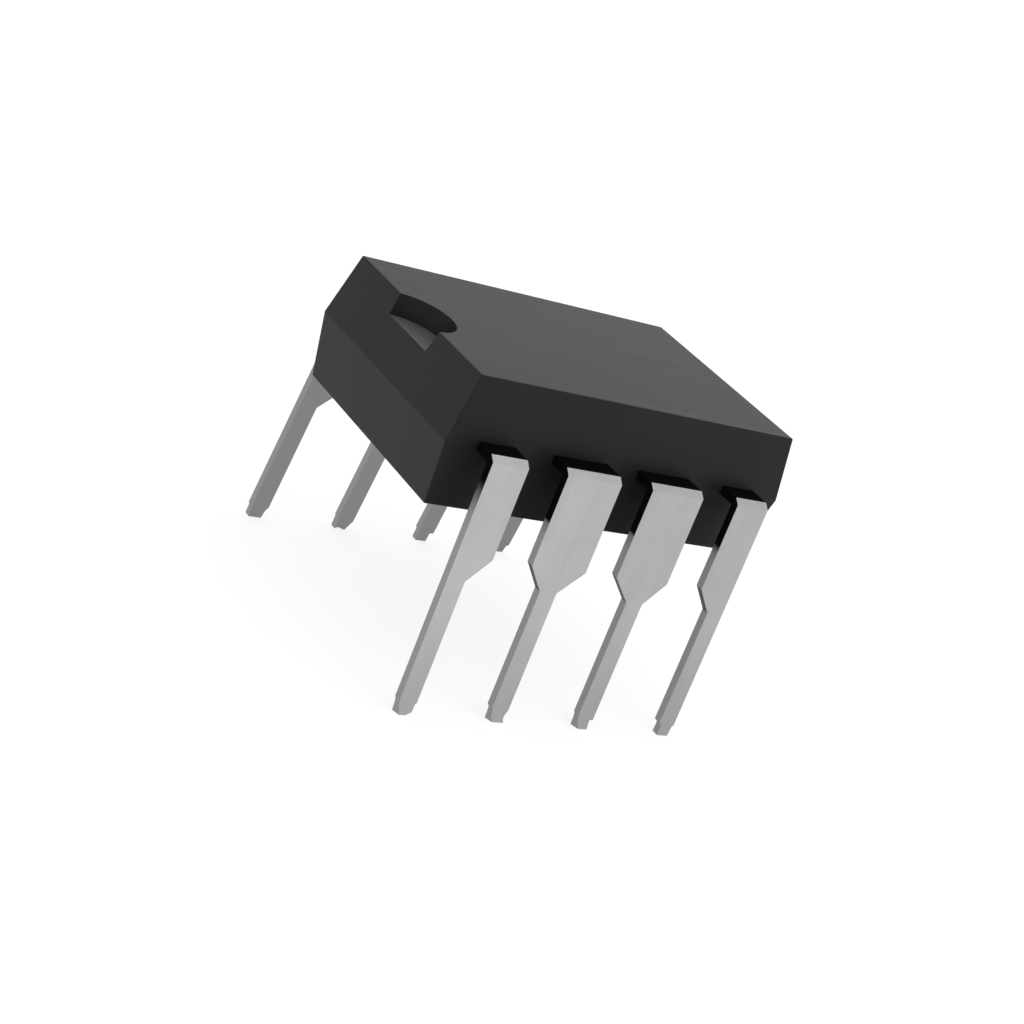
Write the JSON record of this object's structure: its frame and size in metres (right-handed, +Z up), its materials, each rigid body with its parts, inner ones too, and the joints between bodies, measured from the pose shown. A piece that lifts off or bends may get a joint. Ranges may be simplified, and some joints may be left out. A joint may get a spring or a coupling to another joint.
{
  "type": "dual in-line integrated circuit",
  "caption": "Plastic dual in-line integrated circuit: a drafted dark moulded body with a half-round orientation notch at one end and two rows of stepped, splayed through-hole leads.",
  "frame": {"origin": "midway between the two lead rows and midway along the body, in the plane of the lead tips", "axes": "+X along the body away from the orientation notch, +Y across the rows from leads 1 to 4 toward leads 5 to 8, +Z up through the upper face"},
  "size_m": [0.0098, 0.0086, 0.0077],
  "materials": {
    "moulding_resin": "matte, finely textured as moulded",
    "tinned_lead": "satin tin plating, dark resin film on the stub",
    "frame_metal": "bare copper alloy strip",
    "die_adhesive": "silver-filled paste, matte",
    "silicon": "polished",
    "gold_wire": "drawn, bright"
  },
  "bodies": {
    "root": {"moulded_body": "moulding_resin", "lead_1": "tinned_lead", "lead_2": "tinned_lead", "lead_3": "tinned_lead", "lead_4": "tinned_lead", "lead_5": "tinned_lead", "lead_6": "tinned_lead", "lead_7": "tinned_lead", "lead_8": "tinned_lead", "die_pad": "frame_metal", "die_attach": "die_adhesive", "silicon_die": "silicon", "bond_wire_1": "gold_wire", "bond_wire_2": "gold_wire", "bond_wire_3": "gold_wire", "bond_wire_4": "gold_wire", "bond_wire_5": "gold_wire", "bond_wire_6": "gold_wire", "bond_wire_7": "gold_wire", "bond_wire_8": "gold_wire"}
  },
  "joints": []
}
